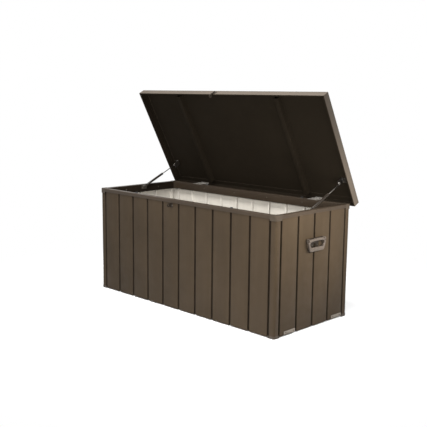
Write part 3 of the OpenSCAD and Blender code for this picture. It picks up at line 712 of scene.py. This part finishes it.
def strut(side_name):
    """A gas strut: the tube with its lower eye, and the rod with its upper eye."""
    low = Vector(JOINTS["strut_pivot_" + side_name]["pos_m"])
    along = Vector(JOINTS["strut_slide_" + side_name]["axis"])
    rod_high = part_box("strut_rod_" + side_name)[1]
    # The rod's eye reaches EYE_R past its centre, so its centre's height gives the length
    length = (rod_high.z - EYE_R - low.z) / along.z

    tube = bmesh.new()
    eye(tube, low)
    profile = [(NECK_START, 0), (NECK_START, NECK_R), (TUBE_START, NECK_R),
               (TUBE_START, TUBE_FACE_R), (TUBE_START + 0.8 * MM, TUBE_CORNER_R),
               (TUBE_START + 2 * MM, TUBE_R),
               *rolled_groove(TUBE_END, TUBE_R, *TUBE_GROOVE),
               (TUBE_END - 2 * MM, TUBE_R), (TUBE_END - 0.7 * MM, TUBE_CORNER_R),
               (TUBE_END, TUBE_FACE_R), (TUBE_END, BORE_R + 0.3 * MM),
               (TUBE_END - 1 * MM, BORE_R), (BORE_START, BORE_R), (BORE_START, 0)]
    lathe(tube, profile, low, along)
    body = "strut_cylinder_" + side_name
    finish_mesh("turned_" + body, tube, body, [TUBE_ENAMEL], [body])

    rod = bmesh.new()
    eye(rod, low + along * length)
    start, eye_low = TUBE_END - ROD_OVERLAP, length - EYE_R
    profile = [(start, 0), (start, ROD_R),
               *rolled_groove(eye_low, ROD_R, *ROD_GROOVE),
               (eye_low + SHANK_OVERLAP, ROD_R), (eye_low + SHANK_OVERLAP, 0)]
    lathe(rod, profile, low, along, 28)
    body = "strut_rod_" + side_name
    finish_mesh("turned_" + body, rod, body, [ROD_CHROME], [body])


strut("left")
strut("right")

# ---- Handle bails ----

# Right halves of the bail's outline and of its hollow, from the bottom up, in millimetres:
# distance along the grip, height over the pivot and corner radius
BAIL_OUTLINE = ((54, -62, 6), (63, -54, 6), (78, -10, 3), (64, -10, 1))
BAIL_HOLLOW = ((51, -40, 7), (64, -19, 5))
BAR_HALF = 64 * MM
# Half length, height at the ends and rise of the arches that close both at the top
BAR_ARCH = (BAR_HALF, 4 * MM, 5.5 * MM)
HOLLOW_ARCH = (56 * MM, -9 * MM, 4 * MM)
BAIL_T = 14 * MM
BAIL_CENTRE = Vector((0, -26 * MM))
SECTION_STEPS = 20
# The grip lies below this height and has finger ribs over part of its length
GRIP_TOP = -40 * MM
RIB_PITCH = 8.4 * MM
RIB_HALF = 38 * MM
RIB_DEPTH = 0.09
TRUNNION_R = 4 * MM
TRUNNION_EDGE = 0.6 * MM
TRUNNION_ROOT = 12 * MM
EAR_T = 8 * MM


def arch(half, height, rise):
    """Corners of a shallow arch from right to left."""
    spots = [1 - k / 8 for k in range(17)]
    return [(t * half, height + rise * (1 - t * t), 0) for t in spots]


def both_halves(half):
    """Corners of a symmetric outline from left to right, in metres."""
    corners = [(x * MM, z * MM, radius * MM) for x, z, radius in half]
    return [(-x, z, radius) for x, z, radius in reversed(corners)] + corners


def squared(value):
    """Pushes a cosine or sine outwards, so that a round section gets fuller corners."""
    return math.copysign(abs(value) ** 0.5, value)


def bail(side_name):
    """A moulded loop, thick along its grip, with finger ribs and two trunnions. Its outlines
    are (y, z) from the pivot."""
    pivot = Vector(JOINTS["handle_pivot_" + side_name]["pos_m"])
    outwards = pivot.x / abs(pivot.x)
    outer = outline(both_halves(BAIL_OUTLINE) + arch(*BAR_ARCH))
    inner = outline(both_halves(BAIL_HOLLOW) + arch(*HOLLOW_ARCH))
    turns = [2 * math.pi * step / SECTION_STEPS for step in range(SECTION_STEPS)]
    bm = bmesh.new()
    rings = []
    for out_point in outer:
        in_point = along_ray(inner, BAIL_CENTRE, out_point)
        middle, half = (out_point + in_point) / 2, (out_point - in_point) / 2
        thick = BAIL_T / 2
        if middle.y < GRIP_TOP and abs(middle.x) < RIB_HALF:
            wave = 0.5 + 0.5 * math.cos(2 * math.pi * middle.x / RIB_PITCH)
            thick *= 1 - RIB_DEPTH * wave * (1 - (middle.x / RIB_HALF) ** 4)
        ring = []
        for turn in turns:
            point = middle + half * squared(math.cos(turn))
            depth = outwards * squared(math.sin(turn)) * thick
            ring.append(bm.verts.new(pivot + Vector((depth, point.x, point.y))))
        rings.append(ring)
    for ring, following in zip(rings, rings[1:] + rings[:1]):
        for k in range(SECTION_STEPS):
            after = (k + 1) % SECTION_STEPS
            bm.faces.new((ring[k], ring[after], following[after], following[k]))
    root, reach = BAR_HALF - TRUNNION_ROOT, BAR_HALF + EAR_T
    profile = [(root, 0), (root, TRUNNION_R), (reach - TRUNNION_EDGE, TRUNNION_R),
               (reach, TRUNNION_R - TRUNNION_EDGE), (reach, 0)]
    for way in (-1, 1):
        lathe(bm, profile, pivot, (0, way, 0), 32)
    finish_mesh("moulded_bail_" + side_name, bm, "handle_" + side_name,
                [HANDLE_PLASTIC], ["handle_bail_" + side_name])


bail("right")
bail("left")

# ---- Stage ----

FLOOR_GREY = (0.43, 0.43, 0.43)
# The floor is solid out to the first radius and gone at the second
FLOOR_SOLID = 0.8
FLOOR_GONE = 1.9


def studio_floor():
    """A round floor that fades into the white studio before its far edge."""
    bm = bmesh.new()
    bmesh.ops.create_circle(bm, cap_ends=True, segments=96, radius=FLOOR_GONE)
    mesh = bpy.data.meshes.new("studio_floor")
    bm.to_mesh(mesh)
    bm.free()
    n = Nodes("studio_floor")
    n.set(Base_Color=n.tinted(FLOOR_GREY, n.span(n.noise(0.4, 2), 0.985, 1.015)),
          Roughness=0.8, Specular_IOR_Level=0.1)
    away = n.add("VectorMath", {0: n.add("TexCoord", {}, "Object")}, "Value", operation="LENGTH")
    n.put(n.surface.inputs["Alpha"], n.span(away, 1.0, 0.0, FLOOR_SOLID, FLOOR_GONE))
    mesh.materials.append(n.material)
    floor = bpy.data.objects.new("studio_floor", mesh)
    bpy.context.scene.collection.objects.link(floor)


studio_floor()

world = bpy.data.worlds.new("studio")
bpy.context.scene.world = world
world.use_nodes = True
background = world.node_tree.nodes["Background"]
background.inputs["Color"].default_value = (1.0, 1.0, 1.0, 1)
background.inputs["Strength"].default_value = 1.0


def area_light(name, place, target, size, power):
    """A rectangular light. Only the key light shows in glossy surfaces."""
    data = bpy.data.lights.new(name, "AREA")
    data.shape = "RECTANGLE"
    data.size, data.size_y = size
    data.energy = power
    light = bpy.data.objects.new(name, data)
    light.location = place
    aim = Vector(target) - Vector(place)
    light.rotation_euler = aim.to_track_quat("-Z", "Y").to_euler()
    light.visible_camera = False
    light.visible_glossy = name == "key"
    bpy.context.scene.collection.objects.link(light)


# Name, place, target, size and power of each soft light
LIGHTS = (
    ("key", (0.3, -1.0, 3.3), (0.15, 0, 0.3), (1.5, 1.5), 270),
    ("side_fill", (1.5, -0.7, 3.3), (0.2, 0, 0.3), (1.5, 1.5), 40),
    ("front_fill", (1.0, -1.3, 0.75), (0.7, -0.35, 0.4), (0.9, 0.3), 17),
    ("end_fill", (1.25, 0, 0.68), (0.76, 0, 0.57), (0.9, 0.12), 21),
    ("low_fill", (0.2, -1.9, 1.35), (0.1, 0.3, 0.5), (1.4, 0.4), 31),
    ("back_fill", (-2.4, 2.6, 1.8), (0, 0, 0.4), (2.0, 2.0), 130),
)
for light_row in LIGHTS:
    area_light(*light_row)

# Camera at the photograph's viewing angle
CAMERA_PLACE = Vector((3.1743, -3.2145, 1.2837))
CAMERA_YAW = math.radians(44.948)
CAMERA_PITCH = math.radians(-9.262)
CAMERA_ROLL = math.radians(0.538)
CAMERA_LENS_MM = 63.04
CAMERA_SENSOR_MM = 36
camera_data = bpy.data.cameras.new("camera")
camera_data.sensor_width = CAMERA_SENSOR_MM
camera_data.lens = CAMERA_LENS_MM
camera = bpy.data.objects.new("camera", camera_data)
forward = Vector((-math.sin(CAMERA_YAW) * math.cos(CAMERA_PITCH),
                  math.cos(CAMERA_YAW) * math.cos(CAMERA_PITCH), math.sin(CAMERA_PITCH)))
level = Vector((math.cos(CAMERA_YAW), math.sin(CAMERA_YAW), 0))
raised = level.cross(forward)
right = level * math.cos(CAMERA_ROLL) + raised * math.sin(CAMERA_ROLL)
up = raised * math.cos(CAMERA_ROLL) - level * math.sin(CAMERA_ROLL)
turned = Matrix((right, up, -forward)).transposed().to_4x4()
camera.matrix_world = Matrix.Translation(CAMERA_PLACE) @ turned
bpy.context.scene.collection.objects.link(camera)
bpy.context.scene.camera = camera
bpy.context.scene.view_settings.view_transform = "Standard"
